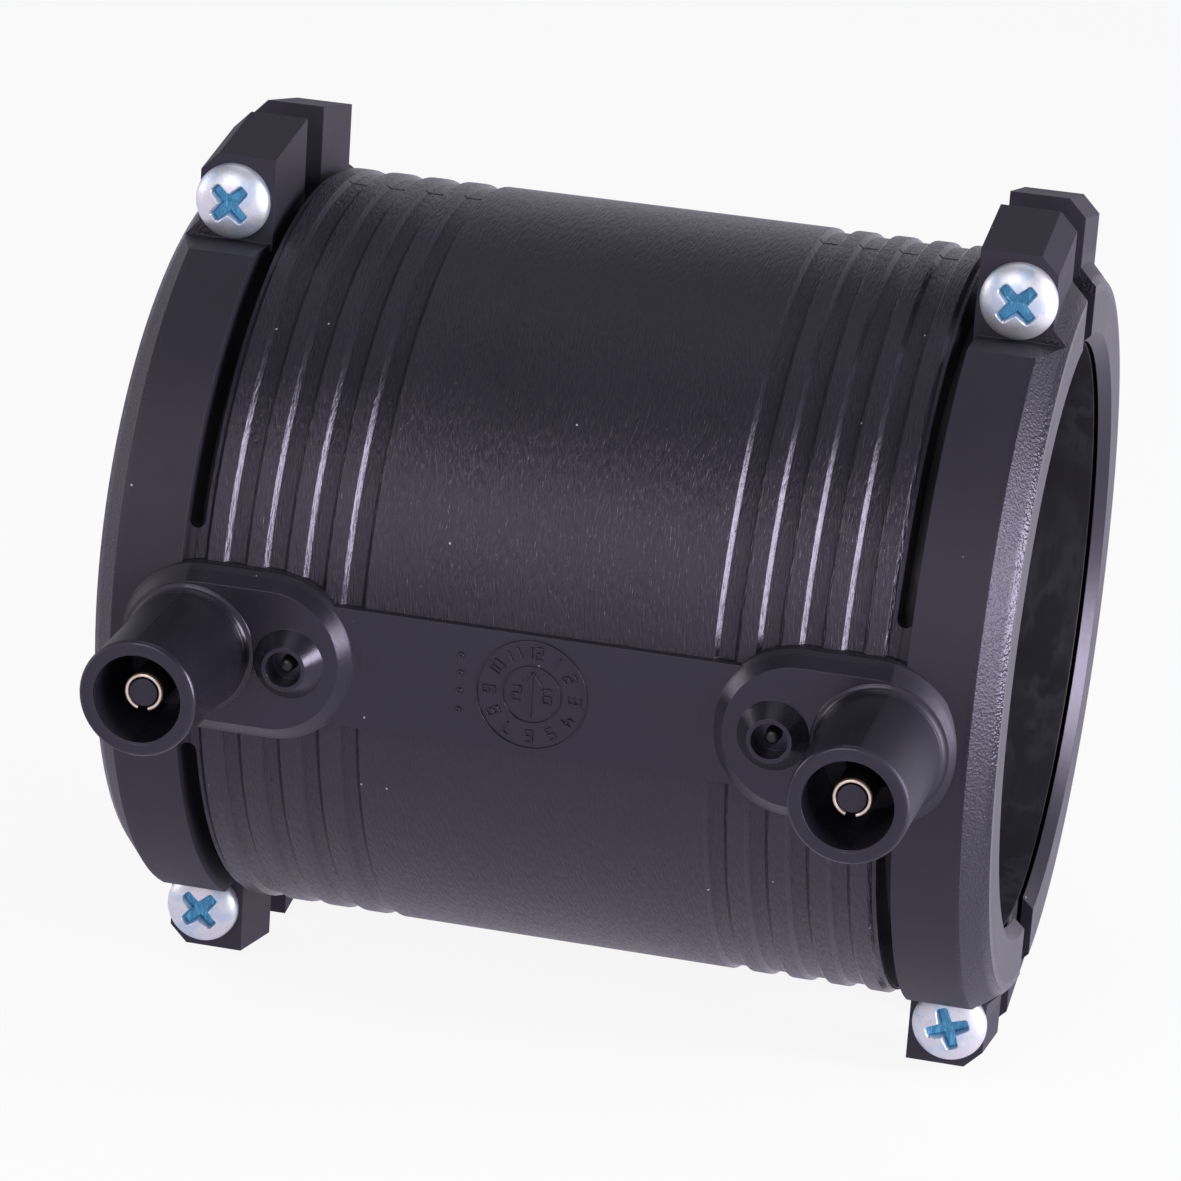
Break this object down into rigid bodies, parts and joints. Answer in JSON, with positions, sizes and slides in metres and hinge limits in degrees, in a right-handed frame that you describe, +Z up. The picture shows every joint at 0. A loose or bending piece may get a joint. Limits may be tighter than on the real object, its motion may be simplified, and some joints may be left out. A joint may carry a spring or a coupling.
{
  "type": "electrofusion coupler",
  "caption": "Black polyethylene electrofusion coupler that joins two pipe ends, with clamping rings, screws, shrouded electric contacts and fusion indicators.",
  "frame": {"origin": "on the pipe's axis, halfway between the two ends", "axes": "+X along the pipe's axis, -Y towards the electric contacts, +Z up through the upper clamp ears"},
  "size_m": [0.0956, 0.0996, 0.0948],
  "materials": {
    "body_plastic": "fine moulded texture",
    "sleeve_plastic": "smooth",
    "coil_copper": "drawn wire",
    "contact_brass": "rolled sheet",
    "indicator_plastic": "smooth",
    "screw_zinc": "bright zinc plate"
  },
  "bodies": {
    "root": {"coupler_body": "body_plastic", "winding_sleeve": "sleeve_plastic", "heating_coil": "coil_copper", "contact_left": "contact_brass", "contact_right": "contact_brass", "fusion_indicator_left": "indicator_plastic", "fusion_indicator_right": "indicator_plastic", "clamp_screw_left_top": "screw_zinc", "clamp_screw_left_bottom": "screw_zinc", "clamp_screw_right_top": "screw_zinc", "clamp_screw_right_bottom": "screw_zinc"}
  },
  "joints": []
}
